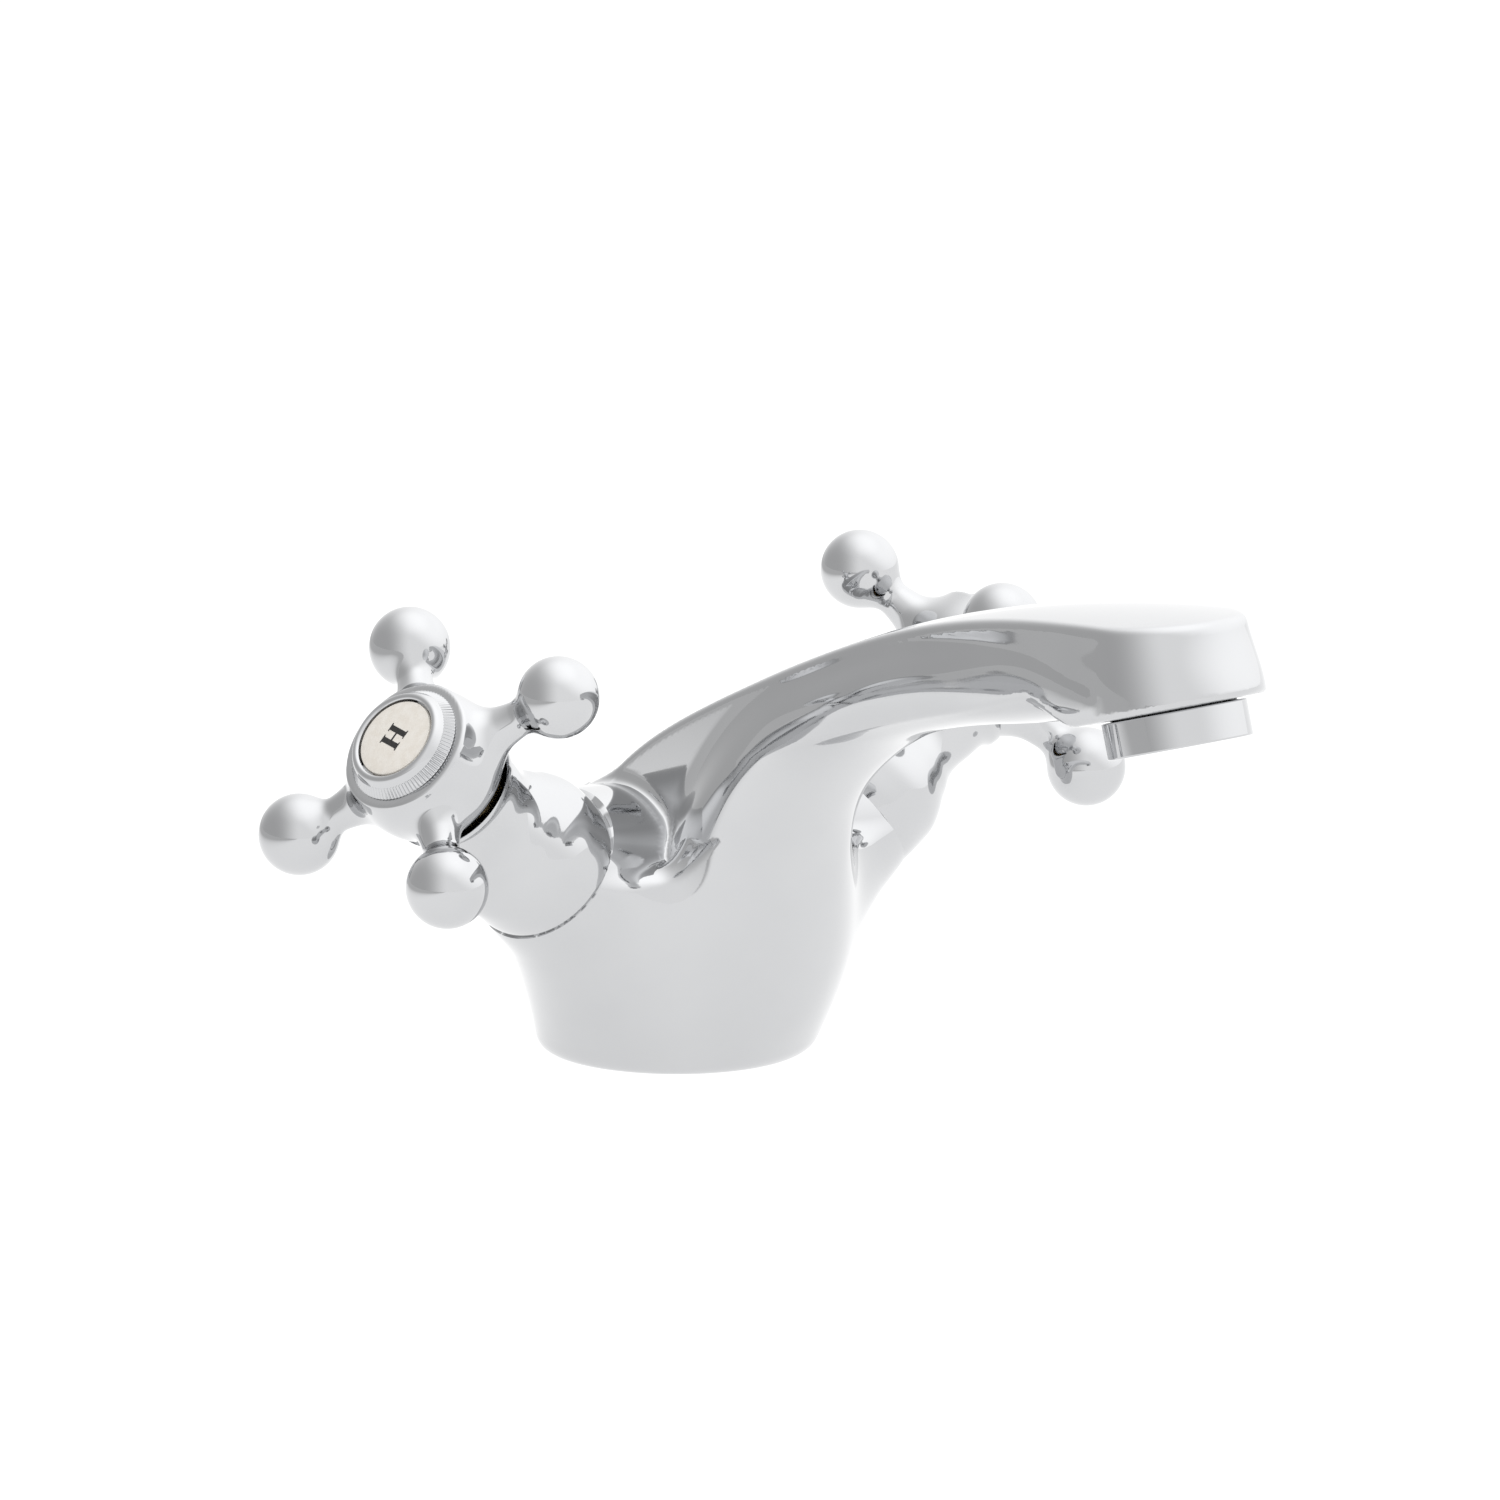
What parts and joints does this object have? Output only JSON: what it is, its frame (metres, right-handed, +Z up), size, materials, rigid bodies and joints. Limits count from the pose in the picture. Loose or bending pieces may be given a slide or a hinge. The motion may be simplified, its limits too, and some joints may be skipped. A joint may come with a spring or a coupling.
{
  "type": "bathroom mixer faucet",
  "caption": "Chrome deck-mounted basin mixer faucet with a bowed spout, a screwed aerator and cross handles on quarter-turn ceramic valves.",
  "frame": {"origin": "centre of the round base, on the deck it stands on", "axes": "+Z up from the deck, spout towards -Y, hot handle towards -X, cold handle towards +X"},
  "size_m": [0.1646, 0.1644, 0.0956],
  "materials": {
    "chrome": "mirror-polished chrome plate on brass",
    "brass": "machined, unplated",
    "steel": "stainless, turned or stamped",
    "rubber": "moulded black nitrile rubber",
    "valve_ceramic": "lapped white alumina",
    "index_ceramic": "ivory glaze with a dark printed letter",
    "acetal": "moulded natural acetal"
  },
  "bodies": {
    "faucet_body": {"body_casting": "chrome", "base_gasket": "rubber", "aerator_housing": "chrome", "aerator_insert": "acetal", "aerator_washer": "rubber", "hot_shroud": "chrome", "hot_valve_body": "brass", "hot_valve_body_o_ring": "rubber", "hot_seat_seal": "rubber", "hot_fixed_disc": "valve_ceramic", "hot_thrust_washer": "acetal", "cold_shroud": "chrome", "cold_valve_body": "brass", "cold_valve_body_o_ring": "rubber", "cold_seat_seal": "rubber", "cold_fixed_disc": "valve_ceramic", "cold_thrust_washer": "acetal"},
    "hot_handle": {"hot_moving_disc": "valve_ceramic", "hot_spindle": "brass", "hot_spindle_o_ring": "rubber", "hot_circlip": "steel", "hot_cross_handle": "chrome", "hot_handle_screw": "steel", "hot_index_ring": "chrome", "hot_index_o_ring": "rubber", "hot_index_disc": "index_ceramic"},
    "cold_handle": {"cold_moving_disc": "valve_ceramic", "cold_spindle": "brass", "cold_spindle_o_ring": "rubber", "cold_circlip": "steel", "cold_cross_handle": "chrome", "cold_handle_screw": "steel", "cold_index_ring": "chrome", "cold_index_o_ring": "rubber", "cold_index_disc": "index_ceramic"}
  },
  "joints": [
    {"name": "hot_handle_turn", "type": "hinge", "parent": "faucet_body", "child": "hot_handle", "pos_m": [-0.06328, -0.0087, 0.06033], "axis": [-0.7857, -0.0765, 0.6139], "range_deg": [0, 90]},
    {"name": "cold_handle_turn", "type": "hinge", "parent": "faucet_body", "child": "cold_handle", "pos_m": [0.06328, -0.0087, 0.06033], "axis": [0.7857, -0.0765, 0.6139], "range_deg": [0, 90]}
  ]
}
